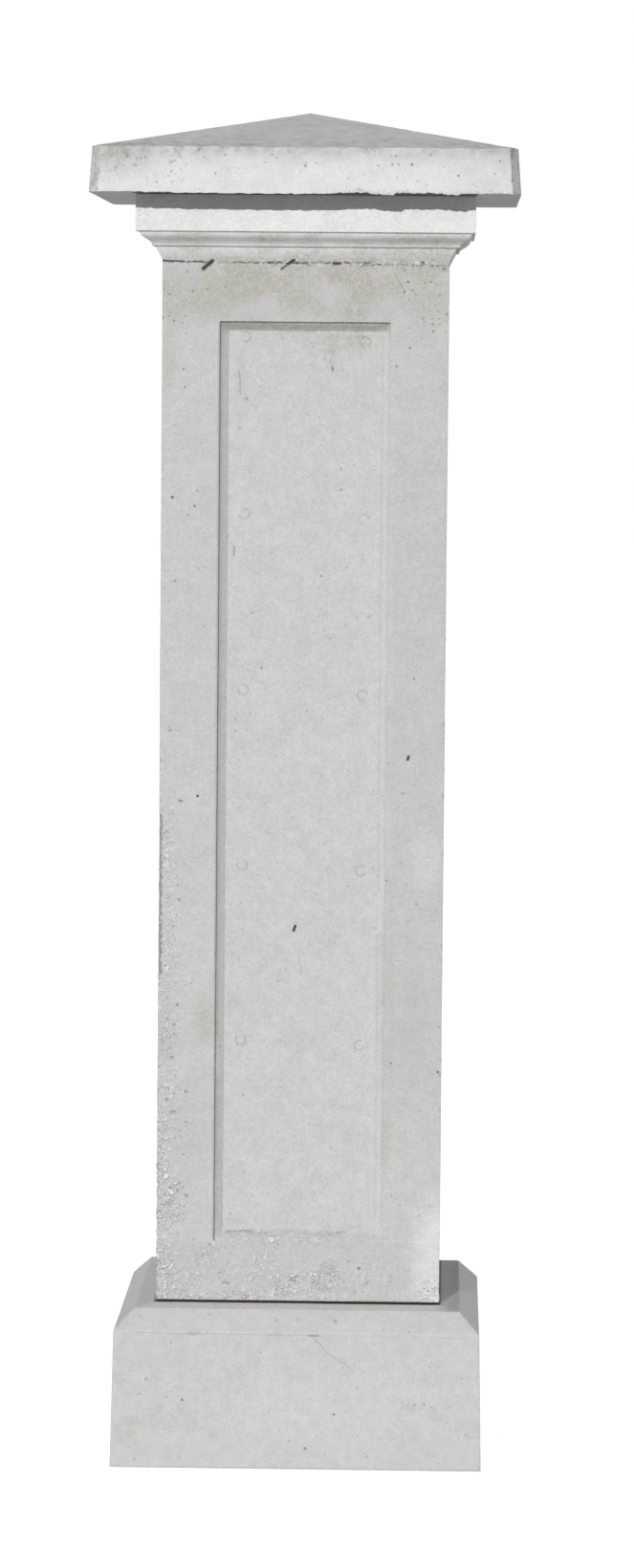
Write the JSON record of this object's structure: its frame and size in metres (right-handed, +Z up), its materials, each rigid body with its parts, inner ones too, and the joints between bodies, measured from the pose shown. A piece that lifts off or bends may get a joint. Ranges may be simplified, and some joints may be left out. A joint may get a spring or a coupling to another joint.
{
  "type": "square panelled gate pier",
  "caption": "Square cast-concrete pier with a bevelled plinth block, sunk panels, a moulded neck and a low pyramid cap.",
  "frame": {"origin": "middle of the underside, on the ground", "axes": "+Z up along the pier, front towards -Y; all four sides alike"},
  "size_m": [0.447, 0.447, 1.429],
  "materials": {
    "plinth_concrete": "pale grey precast concrete, smooth from the form, with small air holes",
    "shaft_concrete": "pale grey precast concrete, form finish with air holes, a form seam and rubbed patches",
    "cap_concrete": "off-white precast concrete, smooth faces, trowelled slopes and a ragged lower edge"
  },
  "bodies": {
    "root": {"plinth": "plinth_concrete", "shaft": "shaft_concrete", "cap": "cap_concrete"}
  },
  "joints": []
}
